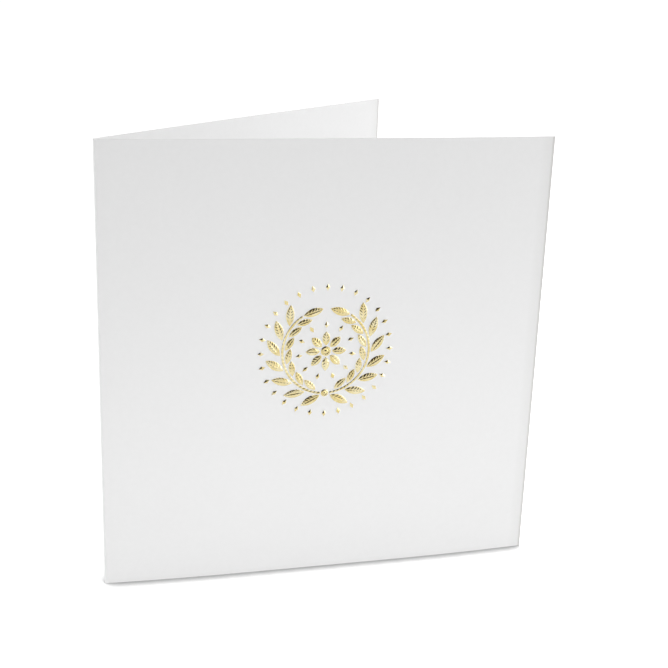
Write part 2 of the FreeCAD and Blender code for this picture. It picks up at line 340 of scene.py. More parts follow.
def finish_tree(tree, geometry, section, material):
    """Make instances real, fold them and give them their material."""
    real = add(tree, "GeometryNodeRealizeInstances", {0: geometry})
    fold = add(tree, "GeometryNodeGroup", {"Geometry": real, "Section": section, "Start": front_start},
               node_tree=fold_group)
    return add(tree, "GeometryNodeSetMaterial", {0: fold, "Material": material})


# %% [markdown]
# ## The stamped shapes
# Each die shape has an outline, and inside it a rounded crown with lines engraved into it. The crown
# and its cuts serve three times: the foil has both, the hollow that the blow leaves inside the cover
# has the crown alone, and the paper hidden under the foil lies below the deepest cut.
#
# A laurel leaf is two rounded lobes with a groove between them and slanting veins. Its shape could
# come from a sculpted mesh, but a formula keeps every leaf crisp at any size.

# %% Leaf and speck heights
groove_depth = 0.2 * mm
groove_width = 0.17 * mm
vein_pitch = 1.05 * mm
vein_depth = 0.15 * mm
vein_slant = 1.1                 # how far a vein runs along the leaf for each step across it
cut_sharpness = 2.0              # over 1, a cut is narrower than the ridge beside it

# Three powers shape a leaf's crown: towards its tips, over its middle and down its sides.
leaf_fullness = 0.7
leaf_flatness = 2.2
leaf_steepness = 0.8

# A leaf has no width at its tips. These two keep the sums there from dividing by nothing.
least_full = 1e-6                # share of the leaf's width
least_half = 1e-9                # metres


def comb(phase):
    """Narrow cuts at whole numbers, from 0 between them to 1 in their middle."""
    return ((1 + np.cos(2 * math.pi * phase)) / 2) ** cut_sharpness


def leaf_height(size):
    """Crown and cuts of a leaf that lies along u, over its rim, and how near its rim a point is."""
    length, width = size
    radius = flank_radius(length, width)

    def height(u, v):
        half = np.sqrt(np.maximum(radius ** 2 - u ** 2, 0)) - radius + width / 2
        full = np.clip(half / (width / 2), least_full, 1)
        across = np.clip(np.abs(v) / np.maximum(half, least_half), 0, 1)
        arch = (1 - across ** leaf_flatness) ** leaf_steepness
        crown = (leaf_crest - rim_rise) * full ** leaf_fullness * arch
        veins = comb((u - vein_slant * np.abs(v)) / vein_pitch) * np.sin(math.pi * across)
        groove = np.exp(-(v / groove_width) ** 2)
        return crown, full * np.maximum(groove_depth * groove, vein_depth * veins), across
    return height


def speck_height(u, v):
    """A low pyramid on a diamond, with nothing cut into it: crown, cut and nearness to its rim."""
    share = np.minimum(np.abs(u) / (speck_size[0] / 2) + np.abs(v) / (speck_size[1] / 2), 1)
    return (speck_crest - rim_rise) * (1 - share), np.zeros(len(share)), share


# %% Boss and stem heights
boss_scallops = 12
collar_radius = 0.72             # these three are shares of the boss's radius
collar_width = 0.16
dome_radius = 0.5
collar_height = 0.6              # these two are shares of the boss's height
valley_height = 0.15
scallop_swing = 0.25             # share of the collar's height, up and down from its mean
boss_flatness = 8                # the higher this power, the nearer to the rim the boss stays flat
stem_roundness = 0.6             # power that shapes the stem's crown: 0.5 is a half round
rope_pitch = 1.3 * mm
rope_depth = 0.11 * mm
rope_slant = 0.45                # in turns of the rope, from the stem's middle to its side


def boss_height(radius):
    """A button with a scalloped collar round a domed middle."""
    def height(u, v):
        share = np.minimum(np.hypot(u, v) / radius, 1)
        scallops = 1 - scallop_swing + scallop_swing * np.cos(boss_scallops * np.arctan2(v, u))
        collar = collar_height * scallops * np.exp(-((share - collar_radius) / collar_width) ** 2)
        dome = np.sqrt(np.maximum(1 - (share / dome_radius) ** 2, 0))
        crown = 1 - share ** boss_flatness
        carved = np.maximum(np.maximum(collar, dome), valley_height) * crown
        crest = boss_crest - rim_rise
        return crest * crown, crest * (crown - carved), share
    return height


def stem_height(u, v):
    """A strip bent round the emblem's centre, twisted like a rope."""
    across = np.clip((np.hypot(u, v) - wreath_radius) / (stem_width / 2), -1, 1)
    crown = (stem_crest - rim_rise) * (1 - across ** 2) ** stem_roundness
    twist = comb(np.arctan2(v, u) * wreath_radius / rope_pitch + across * rope_slant)
    return crown, rope_depth * twist, np.abs(across)


# %% [markdown]
# The foil shapes are drawn as grids, so that the mesh follows the lines of the die: rows across a
# leaf, rings round a boss, rows across the stem. Where a row shrinks to a point, as at a leaf's two
# tips, its points are merged into one.

# %% Flat grids
merge_decimals = 6               # points that agree to this many decimals of a millimetre are one


def grid_faces(rows, columns, closed=False):
    """Quads between rows of points. closed joins the last column to the first."""
    faces = []
    for row in range(rows - 1):
        here = row * columns
        ahead = here + columns
        for j in range(columns if closed else columns - 1):
            k = (j + 1) % columns
            faces.append((here + j, here + k, ahead + k, ahead + j))
    return faces


def merge_points(plan, faces):
    """Merge points that fall together, and drop the faces that this empties."""
    rounded = np.round(plan / mm, merge_decimals) + 0.0
    places, index = np.unique(rounded, axis=0, return_inverse=True)
    index = index.ravel()
    merged = []
    for face in faces:
        corners = list(dict.fromkeys(int(index[k]) for k in face))
        if len(corners) > 2:
            merged.append(corners)
    return places * mm, merged


# %% Leaf, round and stem grids
def leaf_grid(size, rows, columns):
    length, width = size
    radius = flank_radius(length, width)
    u = length / 2 * np.sin(np.linspace(-math.pi / 2, math.pi / 2, rows))
    half = np.sqrt(radius ** 2 - u ** 2) - radius + width / 2
    half[[0, -1]] = 0
    share = np.linspace(1, -1, columns)
    plan = np.stack([np.repeat(u, columns), np.outer(half, share).ravel()], axis=1)
    return merge_points(plan, grid_faces(rows, columns))


def round_grid(corners, rings):
    """Rings of points from the middle out to a loop of corners."""
    share = np.linspace(1, 0, rings)
    plan = np.concatenate([np.array(corners) * s for s in share])
    return merge_points(plan, grid_faces(rings, len(corners), closed=True))


def circle_corners(radius, count):
    turn = 2 * math.pi * np.arange(count) / count
    return np.stack([radius * np.cos(turn), radius * np.sin(turn)], axis=1)


def diamond_corners(size, divisions):
    corners = np.array([(size[0], 0), (0, size[1]), (-size[0], 0), (0, -size[1])]) / 2
    steps = np.arange(divisions)[:, None] / divisions
    return np.concatenate([a + (b - a) * steps for a, b in zip(corners, np.roll(corners, -1, axis=0))])


def stem_grid(rows, columns):
    """The stem's middle lies on +u, as an arc about the emblem's centre."""
    sweep = stem_end - stem_start
    turn = np.repeat(np.linspace(-sweep / 2, sweep / 2, rows), columns)
    radius = wreath_radius + np.tile(np.linspace(-stem_width / 2, stem_width / 2, columns), rows)
    plan = np.stack([radius * np.cos(turn), radius * np.sin(turn)], axis=1)
    faces = [face[::-1] for face in grid_faces(rows, columns)]
    return plan, faces


# %% [markdown]
# Both the paper and each foil shape are thin closed sheets: an upper skin, a lower skin and a wall
# round the rim. One function makes them from a flat plan and two heights. The wall's faces are
# marked, because the paper's cut edge gets a material of its own.

# %% Closed sheets
def rim_edges(faces):
    """Edges that belong to one face only, in that face's own direction."""
    edges = {}
    for face in faces:
        for a, b in zip(face, list(face[1:]) + [face[0]]):
            if (b, a) in edges:
                del edges[(b, a)]
            else:
                edges[(a, b)] = True
    return list(edges)


def closed_sheet(name, plan, faces, upper, lower):
    """A closed mesh: two skins over the plan, and a wall round its rim whose faces are marked."""
    count = len(plan)
    skins = [np.column_stack([plan, heights]) for heights in (upper, lower)]
    walls = [(b, a, a + count, b + count) for a, b in rim_edges(faces)]
    under = [[k + count for k in reversed(face)] for face in faces]
    mesh = bpy.data.meshes.new(name)
    mesh.from_pydata(np.concatenate(skins).tolist(), [], [list(f) for f in faces] + under + walls)
    wall = mesh.attributes.new("wall", "BOOLEAN", "FACE")
    wall.data.foreach_set("value", np.arange(len(mesh.polygons)) >= len(faces) + len(under))
    mesh.shade_smooth()
    mesh.validate()
    return mesh


def wind_outwards(plan, faces):
    """Turn each face to run anticlockwise, seen from outside the card."""
    wound = []
    for face in faces:
        corners = plan[list(face)]
        ahead = np.roll(corners, -1, axis=0)
        area = np.sum(corners[:, 0] * ahead[:, 1] - ahead[:, 0] * corners[:, 1])
        wound.append(list(face) if area > 0 else list(face)[::-1])
    return wound


# %% [markdown]
# A stamp gathers what the other steps need: the flat grid, the height, the outline as a loop of
# points, and where the shape is set. Sharp edges stay sharp where the surface turns by more than an
# angle, which is small on the four-sided specks and larger on the rounded leaves.

# %% What a stamp holds
foil_rim_thinning = 0.8          # share of the foil's thickness that is rolled away at its rim
foil_rim_power = 8               # the higher this is, the nearer to the rim the foil stays whole


class Stamp:
    """One shape of the die, lying flat about its own middle."""

    def __init__(self, name, grid, height, crease):
        plan, faces = grid
        self.name = name
        self.plan = plan
        self.faces = wind_outwards(plan, faces)
        self.height = height
        self.crease = crease
        self.deepest_cut = height(*plan.T)[1].max()
        self.reach = np.hypot(*plan.T).max()
        self.outline = self.trace()

    def trace(self):
        """The rim as one loop of points, anticlockwise."""
        ahead = dict(rim_edges(self.faces))
        loop = [next(iter(ahead))]
        while ahead[loop[-1]] != loop[0]:
            loop.append(ahead[loop[-1]])
        return self.plan[loop]

    def foil(self):
        """A thin skin of foil, rolled down a little along its rim."""
        crown, cut, edge = self.height(*self.plan.T)
        under = rim_rise + crown - np.minimum(cut, crown)
        top = under + foil_thickness * (1 - foil_rim_thinning * edge ** foil_rim_power)
        mesh = closed_sheet(self.name, self.plan, self.faces, top, under)
        mesh.set_sharp_from_angle(angle=self.crease)
        return mesh_object(self.name, mesh)


# %% Make the stamps
soft_crease = math.radians(50)
facet_crease = math.radians(12)
row_step = 0.09 * mm             # between the rows of a shape's grid, on average
column_step = 0.17 * mm          # and between its columns, where the shape is widest
ring_corners = 48
speck_divisions = 3              # of each side of a speck's diamond, and rings inside it


def odd_count(length, step):
    """Points along a length, an odd number of them so that one lies in the middle."""
    return 2 * round(length / step / 2) + 1


def leaf_stamp(name, size):
    grid = leaf_grid(size, odd_count(size[0], row_step), odd_count(size[1], column_step))
    return Stamp(name, grid, leaf_height(size), soft_crease)


def boss_stamp(name, radius):
    rings = odd_count(radius, 2 * row_step)
    grid = round_grid(circle_corners(radius, ring_corners), rings)
    return Stamp(name, grid, boss_height(radius), soft_crease)


stem_length = (stem_end - stem_start) * wreath_radius
stem_rows = odd_count(stem_length, row_step)
stem_columns = odd_count(stem_width, row_step)
speck_grid = round_grid(diamond_corners(speck_size, speck_divisions), speck_divisions)
stamps = {
    "outer_leaf": leaf_stamp("outer_leaf", outer_leaf_size),
    "inner_leaf": leaf_stamp("inner_leaf", inner_leaf_size),
    "tip_leaf": leaf_stamp("tip_leaf", tip_leaf_size),
    "petal": leaf_stamp("petal", petal_size),
    "stem": Stamp("stem", stem_grid(stem_rows, stem_columns), stem_height, soft_crease),
    "boss": boss_stamp("boss", boss_radius),
    "knot": boss_stamp("knot", knot_radius),
    "speck": Stamp("speck", speck_grid, speck_height, facet_crease),
}
for stamp in stamps.values():
    print(stamp.name, len(stamp.faces), "faces, rim of", len(stamp.outline), "points")

# %% [markdown]
# ## Where the shapes are set
# A wreath repeats one leaf at equal steps round a circle, so its layout is a job for Geometry Nodes.
# The tree places points: each stands at a station round a ring, counted from the bottom, and its
# shape leaves the ring at a tilt. A copy mirrored left to right makes the other half. The points
# carry their turn as an attribute, and both the foil and the embossing read them.

# %% Layout tree
layout_tree, given = new_tree("stations round a ring", Count="Int", Radius="Float", Start="Float",
                              Step="Float", Tilt="Float", Reach="Float", Both_hands="Bool")
index = add(layout_tree, "GeometryNodeInputIndex")
station = add(layout_tree, "ShaderNodeMath", {0: index, 1: given["Step"], 2: given["Start"]},
              operation="MULTIPLY_ADD")
turn = add(layout_tree, "ShaderNodeMath", {0: station, 1: given["Tilt"]}, operation="SUBTRACT")
down = add(layout_tree, "ShaderNodeMath", {0: given["Radius"], 1: -1.0}, operation="MULTIPLY")
foot = add(layout_tree, "ShaderNodeCombineXYZ", {"Y": down})
foot = add(layout_tree, "ShaderNodeVectorRotate", {"Vector": foot, "Angle": station},
           rotation_type="Z_AXIS")
reach = add(layout_tree, "ShaderNodeCombineXYZ", {"X": given["Reach"]})
reach = add(layout_tree, "ShaderNodeVectorRotate", {"Vector": reach, "Angle": turn},
            rotation_type="Z_AXIS")
place = add(layout_tree, "ShaderNodeVectorMath", {0: foot, 1: reach}, operation="ADD")
points = add(layout_tree, "GeometryNodePoints", {"Count": given["Count"], "Position": place})
right = add(layout_tree, "GeometryNodeStoreNamedAttribute",
            {"Geometry": points, "Name": "turn", "Value": turn})
stored = add(layout_tree, "GeometryNodeInputNamedAttribute", {"Name": "turn"})
turned_back = add(layout_tree, "ShaderNodeMath", {0: math.pi, 1: stored}, operation="SUBTRACT")
left = add(layout_tree, "GeometryNodeTransform", {"Geometry": right, "Scale": (-1, 1, 1)})
left = add(layout_tree, "GeometryNodeStoreNamedAttribute",
           {"Geometry": left, "Name": "turn", "Value": turned_back})
halves = add(layout_tree, "GeometryNodeJoinGeometry", {0: right})
layout_tree.links.new(left.outputs[0], halves.inputs[0])
chosen = add(layout_tree, "GeometryNodeSwitch",
             {"Switch": given["Both hands"], "False": right, "True": halves})
marks = add(layout_tree, "GeometryNodePointsToVertices", {0: chosen})
add(layout_tree, "NodeGroupOutput", {0: marks})
print("layout tree", len(layout_tree.nodes), "nodes")


# %% Layout of the emblem
def ring(count, radius):
    """Settings for shapes evenly round a ring, pointing outwards, with one at the top."""
    return {"Count": count, "Radius": radius, "Start": math.pi, "Step": 2 * math.pi / count,
            "Tilt": math.pi / 2}


def one_each_side(station, radius, tilt=0.0):
    """Settings for a shape and its mirror image."""
    return {"Count": 1, "Radius": radius, "Start": station, "Tilt": tilt, "Both_hands": True}


leaf_row = {"Count": leaf_stations, "Step": leaf_step, "Both_hands": True}
outer_row = {**leaf_row, "Radius": outer_foot, "Start": stem_start, "Tilt": outer_leaf_tilt,
             "Reach": outer_leaf_size[0] / 2}
inner_row = {**leaf_row, "Radius": inner_foot, "Start": stem_start + leaf_step * inner_leaf_phase,
             "Tilt": -inner_leaf_tilt, "Reach": inner_leaf_size[0] / 2}
inner_speck_count = int(2 * math.pi * inner_speck_radius / speck_pitch)
outer_speck_count = int(2 * math.pi * outer_speck_radius / speck_pitch)
layout = {
    "outer_leaves": ("outer_leaf", outer_row),
    "inner_leaves": ("inner_leaf", inner_row),
    "tip_leaves": ("tip_leaf", one_each_side(tip_station, wreath_radius * math.cos(tip_half_angle))),
    "wreath_stems": ("stem", one_each_side((stem_start + stem_end) / 2, 0.0, math.pi / 2)),
    "wreath_knot": ("knot", {"Count": 1, "Radius": wreath_radius}),
    "rosette_boss": ("boss", {"Count": 1}),
    "rosette_petals": ("petal", ring(petal_count, boss_radius + foil_gap + petal_size[0] / 2)),
    "inner_specks": ("speck", ring(inner_speck_count, inner_speck_radius)),
    "outer_specks": ("speck", ring(outer_speck_count, outer_speck_radius)),
}
print(inner_speck_count, "specks round the rosette and", outer_speck_count, "round the wreath")

# %% Make the marks
empty_source = mesh_object("empty_source", bpy.data.meshes.new("empty_source"))
marks = {}
for name, (stamp_name, settings) in layout.items():
    marks[name] = run_tree(name + "_marks", empty_source, layout_tree, **settings)
    print(name, len(marks[name].data.vertices), "places")


# %% [markdown]
# ## The embossed sheet
# The sheet's mesh has to be fine where the paper is pressed and may be coarse elsewhere. A grid fine
# enough for the relief everywhere would be millions of faces. Instead the panels are plain quads,
# close together only in the fold, and a square window round the emblem is filled with triangles by a
# constrained Delaunay triangulation, which keeps every outline as an edge.

# %% Distance to a set shape
def into_place(points, x, y, turn):
    """The points in the frame of a shape that is set at a place."""
    u, v = points[:, 0] - x, points[:, 1] - y
    return np.stack([u * math.cos(turn) + v * math.sin(turn),
                     v * math.cos(turn) - u * math.sin(turn)], axis=1)


def out_of_place(points, x, y, turn):
    u, v = points.T
    return np.stack([x + u * math.cos(turn) - v * math.sin(turn),
                     y + u * math.sin(turn) + v * math.cos(turn)], axis=1)


def distance_to(outline, points):
    """Distance to a closed outline, negative inside it."""
    start = outline
    side = np.roll(outline, -1, axis=0) - start
    offset = points[:, None] - start
    share = np.clip((offset * side).sum(2) / (side ** 2).sum(1), 0, 1)
    away = np.hypot(*np.moveaxis(offset - share[..., None] * side, 2, 0)).min(1)
    above = start[:, 1] > points[:, 1:2]
    crossing = above != np.roll(above, -1, axis=1)
    with np.errstate(divide="ignore", invalid="ignore"):
        cut = start[:, 0] + (points[:, 1:2] - start[:, 1]) * side[:, 0] / side[:, 1]
    inside = (crossing & (points[:, :1] < cut)).sum(1) % 2 == 1
    return np.where(inside, -away, away)


def settings_of(marks_object):
    """(x, y, turn) of each mark, in the plane of the emblem."""
    turns = marks_object.data.attributes["turn"].data
    return [(v.co.x, v.co.y, turns[v.index].value) for v in marks_object.data.vertices]


set_shapes = []
for name, (stamp_name, _) in layout.items():
    set_shapes += [(stamps[stamp_name], place) for place in settings_of(marks[name])]
print(len(set_shapes), "stamped shapes")

# %% Relief of the paper
foil_bed = 0.012 * mm            # the paper lies this far under the foil
bed_inset = 0.05 * mm            # and reaches that depth this far inside the foil's rim
hollow_inset = 0.45 * mm         # over which the hollow inside the card reaches its full depth
hollow_spread = 0.15             # share of that inset that lies outside the shape's outline


def smooth_step(share):
    share = np.clip(share, 0, 1)
    return share * share * (3 - 2 * share)


def relief(points):
    """Height of the paper's outer skin, and of its inner skin, over their flat faces."""
    raised = np.zeros(len(points))
    hollow = np.zeros(len(points))
    for stamp, (x, y, turn) in set_shapes:
        local = into_place(points, x, y, turn)
        close = np.flatnonzero(np.hypot(*local.T) < stamp.reach + shoulder_width)
        if len(close) == 0:
            continue
        gap = distance_to(stamp.outline, local[close])
        crown = stamp.height(*local[close].T)[0]
        under = np.maximum(crown - stamp.deepest_cut, 0) - foil_bed * smooth_step(-gap / bed_inset)
        shoulder = rim_rise * smooth_step(1 - gap / shoulder_width)
        raised[close] = np.maximum(raised[close], np.where(gap < 0, rim_rise + under, shoulder))
        pressed = (rim_rise + crown) * smooth_step(hollow_spread - gap / hollow_inset)
        hollow[close] = np.maximum(hollow[close], pressed)
    return raised, hollow


# %% [markdown]
# The plan's points come in three kinds: the lines of the plain grid, the outline of each shape, and
# rings just outside and inside each outline, where the paper bends. A ring point that lies nearer to
# a neighbouring shape than to its own is left out, because the neighbour's rings serve there.

# %% Lines of the plain grid
edge_lines = np.array([0, 0.02, 0.07, 0.25, 0.5, 0.75, 1.0]) * mm     # from a cut edge inwards
panel_step = 4.0 * mm
window_step = 1.5 * mm
fold_step = 0.1 * mm
window_share = 0.8               # how much of the flat margin round the emblem the window takes in
window_half = emblem_radius + window_share * stamp_margin
line_decimals = 5                # lines that agree to this many decimals of a millimetre are one


def divide(start, end, step):
    return np.linspace(start, end, max(round((end - start) / step), 1) + 1)


def grid_lines(low, high, window_middle, fold=()):
    """Lines across the sheet, close at its cut edges, in the fold and through the window."""
    window = (window_middle - window_half, window_middle + window_half)
    parts = [low + edge_lines, high - edge_lines, divide(*window, window_step),
             divide(window[1], high - edge_lines[-1], panel_step)]
    if fold:
        parts += [divide(low + edge_lines[-1], fold[0], panel_step), divide(*fold, fold_step),
                  divide(fold[1], window[0], panel_step)]
    else:
        parts.append(divide(low + edge_lines[-1], window[0], panel_step))
    return np.unique(np.round(np.concatenate(parts) / mm, line_decimals)) * mm


columns = grid_lines(-front_start, panel_run, emblem_along, fold=(-fold_length, 0.0))
rows = grid_lines(0.0, panel_height, emblem_height)
emblem_centre = np.array([emblem_along, emblem_height])
print(len(columns), "columns and", len(rows), "rows")

# %% Outlines and rings
ring_offsets = np.array([0.05, 0.11, 0.17, 0.24, 0.32, 0.5]) * mm                # down the shoulder
inner_offsets = np.array([-0.05, -0.15, -0.28, -0.45, -0.7, -1.0, -1.3]) * mm    # into the hollow
outline_step = 0.3 * mm
corner_bend = 0.5                # radians: an outline that turns by more has a corner there


def thin_out(outline, step):
    """Fewer points of an outline, evenly spaced, with its sharp corners kept."""
    side = np.roll(outline, -1, axis=0) - outline
    back = np.roll(side, 1, axis=0)
    turn = np.abs(np.arctan2(back[:, 0] * side[:, 1] - back[:, 1] * side[:, 0], (back * side).sum(1)))
    kept = []
    walked = step
    for point, length, bend in zip(outline, np.hypot(*side.T), turn):
        if walked >= step or bend > corner_bend:
            kept.append(point)
            walked = 0.0
        walked += length
    return np.array(kept)


def offset_outline(outline, offset):
    """Points at a distance outside an anticlockwise outline, or inside where it is negative."""
    side = np.roll(outline, -1, axis=0) - outline
    side /= np.hypot(*side.T)[:, None]
    both = side + np.roll(side, 1, axis=0)
    both /= np.hypot(*both.T)[:, None]
    return outline + offset * np.stack([both[:, 1], -both[:, 0]], axis=1)


# %% Points round the shapes
ring_slack = 0.25                # share of its offset by which a ring point may miss it
neighbour_share = 0.9            # and how near a neighbour it may be, as a share of that offset
least_gap = 0.02 * mm            # ring points that are nearer together than this count as one
search_reach = 1.5 * mm          # shapes that end further away than this aren't looked at

plan_outlines = []
loose_points = []
for stamp, place in set_shapes:
    outline = thin_out(stamp.outline, outline_step)
    plan_outlines.append(out_of_place(outline, *place))
    for offset in (*ring_offsets, *inner_offsets):
        near_ring = offset_outline(outline, offset)
        reached = distance_to(stamp.outline, near_ring)
        kept = near_ring[np.abs(reached - offset) < ring_slack * abs(offset)]
        loose_points.append((offset, out_of_place(kept, *place)))


def nearest_shape(points):
    """Distance to the nearest outline of any shape, negative inside one."""
    nearest = np.full(len(points), np.inf)
    for stamp, (x, y, turn) in set_shapes:
        local = into_place(points, x, y, turn)
        close = np.flatnonzero(np.hypot(*local.T) < stamp.reach + search_reach)
        if len(close):
            nearest[close] = np.minimum(nearest[close], distance_to(stamp.outline, local[close]))
    return nearest


outside = np.concatenate([points for offset, points in loose_points if offset > 0])
wanted = np.concatenate([np.full(len(points), offset) for offset, points in loose_points if offset > 0])
outside = outside[nearest_shape(outside) > neighbour_share * wanted]
inside = np.concatenate([points for offset, points in loose_points if offset < 0])
ring_points = np.concatenate([outside, inside])
_, first_of_each = np.unique(np.round(ring_points / least_gap), axis=0, return_index=True)
ring_points = ring_points[np.sort(first_of_each)]
print(len(outside), "points outside the outlines,", len(inside), "inside,", len(ring_points), "kept")

# %% Points of the window
frame_slack = 1e-7               # metres: a grid point as near as this to the window's frame is on it
grid_clearance = 0.3 * mm        # plain grid points keep this far out from the outermost ring

grid_x, grid_y = np.meshgrid(columns, rows)
grid_plan = np.stack([grid_x.ravel(), grid_y.ravel()], axis=1)
window_low = emblem_centre - window_half - frame_slack
window_high = emblem_centre + window_half + frame_slack
in_window = np.all((grid_plan > window_low) & (grid_plan < window_high), axis=1)
near_low = grid_plan < window_low + 2 * frame_slack
near_high = grid_plan > window_high - 2 * frame_slack
on_frame = in_window & np.any(near_low | near_high, axis=1)
clear = nearest_shape(grid_plan - emblem_centre) > ring_offsets[-1] + grid_clearance
grid_kept = np.flatnonzero(on_frame | (in_window & clear))

plan = np.concatenate([grid_plan, *[loop + emblem_centre for loop in plan_outlines],
                       ring_points + emblem_centre])
sides = []
first = len(grid_plan)
for loop in plan_outlines:
    ids = list(range(first, first + len(loop)))
    sides += list(zip(ids, ids[1:] + ids[:1]))
    first += len(loop)

chosen = np.concatenate([grid_kept, np.arange(len(grid_plan), len(plan))])
print(len(chosen), "points in the window")

# %% Fill the window
fill_kind = 0                    # the triangulation's kind of output: every triangle
fill_slack = 1e-5                # and its tolerance, in millimetres

order = {int(k): i for i, k in enumerate(chosen)}
flat_points = [Vector(p) for p in (plan[chosen] - emblem_centre) / mm]
kept_sides = [(order[a], order[b]) for a, b in sides]
verts, _, triangles, originals, _, _ = geometry.delaunay_2d_cdt(
    flat_points, kept_sides, [], fill_kind, fill_slack)
home = []
added = []
for vert, original in zip(verts, originals):
    if original:
        home.append(int(chosen[original[0]]))
    else:
        home.append(len(plan) + len(added))
        added.append(np.array(vert) * mm + emblem_centre)
if added:
    plan = np.concatenate([plan, added])
print(len(triangles), "triangles in the window,", len(added), "points added")

quads = [face for face in grid_faces(len(rows), len(columns)) if not all(in_window[k] for k in face)]
sheet_faces = wind_outwards(plan, quads + [[home[k] for k in face] for face in triangles])

# %% Drop unused points
used = np.unique(np.concatenate([np.array(face) for face in sheet_faces]))
renumber = np.full(len(plan), -1)
renumber[used] = np.arange(len(used))
plan = plan[used]
sheet_faces = [[int(renumber[k]) for k in face] for face in sheet_faces]
print(len(sheet_faces), "faces in each skin")

# %% [markdown]
# The guillotine leaves a cut edge that is square, with corners rounded by a few hundredths of a
# millimetre. The paper beside its two free edges is painted grey, and faintly beside the top and
# bottom edges. This is painted shadow, the thin dark line that runs along the card's edges. The
# crease leaves a soft bead on the inside of the fold.

# %% Heights of the two skins
edge_round = 0.07 * mm
free_edge_reach = 1.0 * mm       # painted shadow greys the paper this far from the two free edges
long_edge_reach = 0.3 * mm       # and this far from the top and bottom edges, where it is fainter
long_edge_share = 0.1
free_edge_hold = 0.3             # share of its reach over which the painted shadow at the free edges stays full
sheet_crease = math.radians(60)

to_free_edge = np.minimum(plan[:, 0] - columns[0], columns[-1] - plan[:, 0])
to_long_edge = np.minimum(plan[:, 1], panel_height - plan[:, 1])
to_cut = np.minimum(to_free_edge, to_long_edge)
into_round = np.clip(edge_round - to_cut, 0, edge_round)
rounding = edge_round - np.sqrt(edge_round ** 2 - into_round ** 2)
raised, hollow = relief(plan - emblem_centre)
bead_half = math.asin(crease_bead / fold_inner_radius) * fold_outer_radius
bead_share = np.clip(np.abs(plan[:, 0] + fold_length / 2) / bead_half, 0, 1)
bead = crease_bead * np.cos(bead_share * math.pi / 2) ** 2
upper = raised - rounding
lower = hollow - sheet_thickness + rounding - bead

sheet_mesh = closed_sheet("flat_sheet", plan, sheet_faces, upper, lower)
# The grey near the cut edges is painted shadow: a band along the free edges and a faint one along the
# top and bottom. It is stored in the cut_edge attribute.
free_edge_shade = smooth_step(1 + free_edge_hold - to_free_edge / free_edge_reach)
long_edge_shade = smooth_step(1 - to_long_edge / long_edge_reach)
tint = np.maximum(free_edge_shade, long_edge_share * long_edge_shade)
edge_shade_attribute = sheet_mesh.attributes.new("cut_edge", "FLOAT", "POINT")
edge_shade_attribute.data.foreach_set("value", np.tile(tint, 2).astype(np.float32))
sheet_mesh.set_sharp_from_angle(angle=sheet_crease)
flat_sheet = mesh_object("flat_sheet", sheet_mesh)
print("flat sheet", len(sheet_mesh.vertices), "points")


# %% [markdown]
# ## Card stock
# The real material is uncoated white card stock of about 300 g per square metre: pressed wood
# fibre, sized but not glazed. It is near white, scatters light evenly and has almost no gloss. What
# the eye gets close up is a very fine felt of fibres and a faint cloudiness where they lie thicker.
# A scanned picture of paper could give that. Two noise textures, laid in the card's own coordinates,
# need no picture, never repeat, and take their scale from the size of the real fibres.

# %% Colour and material helpers
def linear(colour):
    """Linear RGBA of an sRGB hex colour."""
    parts = [int(colour[k:k + 2], 16) / 255 for k in (1, 3, 5)]
    return (*[p / 12.92 if p <= 0.04045 else ((p + 0.055) / 1.055) ** 2.4 for p in parts], 1.0)


def new_material(name):
    material = bpy.data.materials.new(name)
    material.use_nodes = True
    tree = material.node_tree
    tree.nodes.clear()
    return material, tree


# %% Card stock material
fibre_size = 0.25 * mm           # true fibres are about 0.03 mm wide: drawn coarser, to show at all
fibre_relief = 0.012 * mm
cloud_size = 1.6 * mm

card_stock, tree = new_material("uncoated_card_stock")
place = add(tree, "ShaderNodeTexCoord").outputs["Object"]
cloud = add(tree, "ShaderNodeTexNoise", {"Vector": place, "Scale": 1 / cloud_size, "Detail": 3.0})
fibres = add(tree, "ShaderNodeTexNoise", {"Vector": place, "Scale": 1 / fibre_size, "Detail": 4.0,
                                          "Roughness": 0.6, "Distortion": 1.2})
tone = add(tree, "ShaderNodeValToRGB", {0: cloud})
tone.color_ramp.elements[0].position = 0.2
tone.color_ramp.elements[0].color = linear("#EEEEEE")
tone.color_ramp.elements[1].position = 0.8
tone.color_ramp.elements[1].color = linear("#F0F0F0")
# The cut_edge attribute carries the painted shadow along the sheet's edges, and mixes the paper towards
# grey there.
cut = add(tree, "ShaderNodeAttribute", attribute_name="cut_edge").outputs["Fac"]
# A Mix node's inputs 6 and 7 are its two colours, and its output 2 is the colour that it mixes.
edge_shaded_tone = add(tree, "ShaderNodeMix", {0: cut, 6: tone, 7: linear("#D3D2D0")}, data_type="RGBA")
bump = add(tree, "ShaderNodeBump", {"Strength": 0.2, "Distance": fibre_relief, "Height": fibres})
paper = add(tree, "ShaderNodeBsdfPrincipled", {
    "Base Color": edge_shaded_tone.outputs[2], "Roughness": 0.82, "Specular IOR Level": 0.3, "Normal": bump})
add(tree, "ShaderNodeOutputMaterial", {"Surface": paper})
print(card_stock.name, len(tree.nodes), "nodes")

# %% Cut edge material
layer_size = 0.12 * mm           # the knife leaves thin layers and the ends of fibres
layer_relief = 0.02 * mm

cut_edge, tree = new_material("guillotined_paper_edge")
place = add(tree, "ShaderNodeTexCoord").outputs["Object"]
layers = add(tree, "ShaderNodeTexNoise", {"Vector": place, "Scale": 1 / layer_size, "Detail": 3.0})
tone = add(tree, "ShaderNodeValToRGB", {0: layers})
tone.color_ramp.elements[0].position = 0.3
tone.color_ramp.elements[0].color = linear("#D2D1CE")
tone.color_ramp.elements[1].position = 0.7
tone.color_ramp.elements[1].color = linear("#E4E3E0")
bump = add(tree, "ShaderNodeBump", {"Strength": 0.5, "Distance": layer_relief, "Height": layers})
fibre_ends = add(tree, "ShaderNodeBsdfPrincipled", {
    "Base Color": tone, "Roughness": 0.9, "Specular IOR Level": 0.2, "Normal": bump})
add(tree, "ShaderNodeOutputMaterial", {"Surface": fibre_ends})
print(cut_edge.name, len(tree.nodes), "nodes")

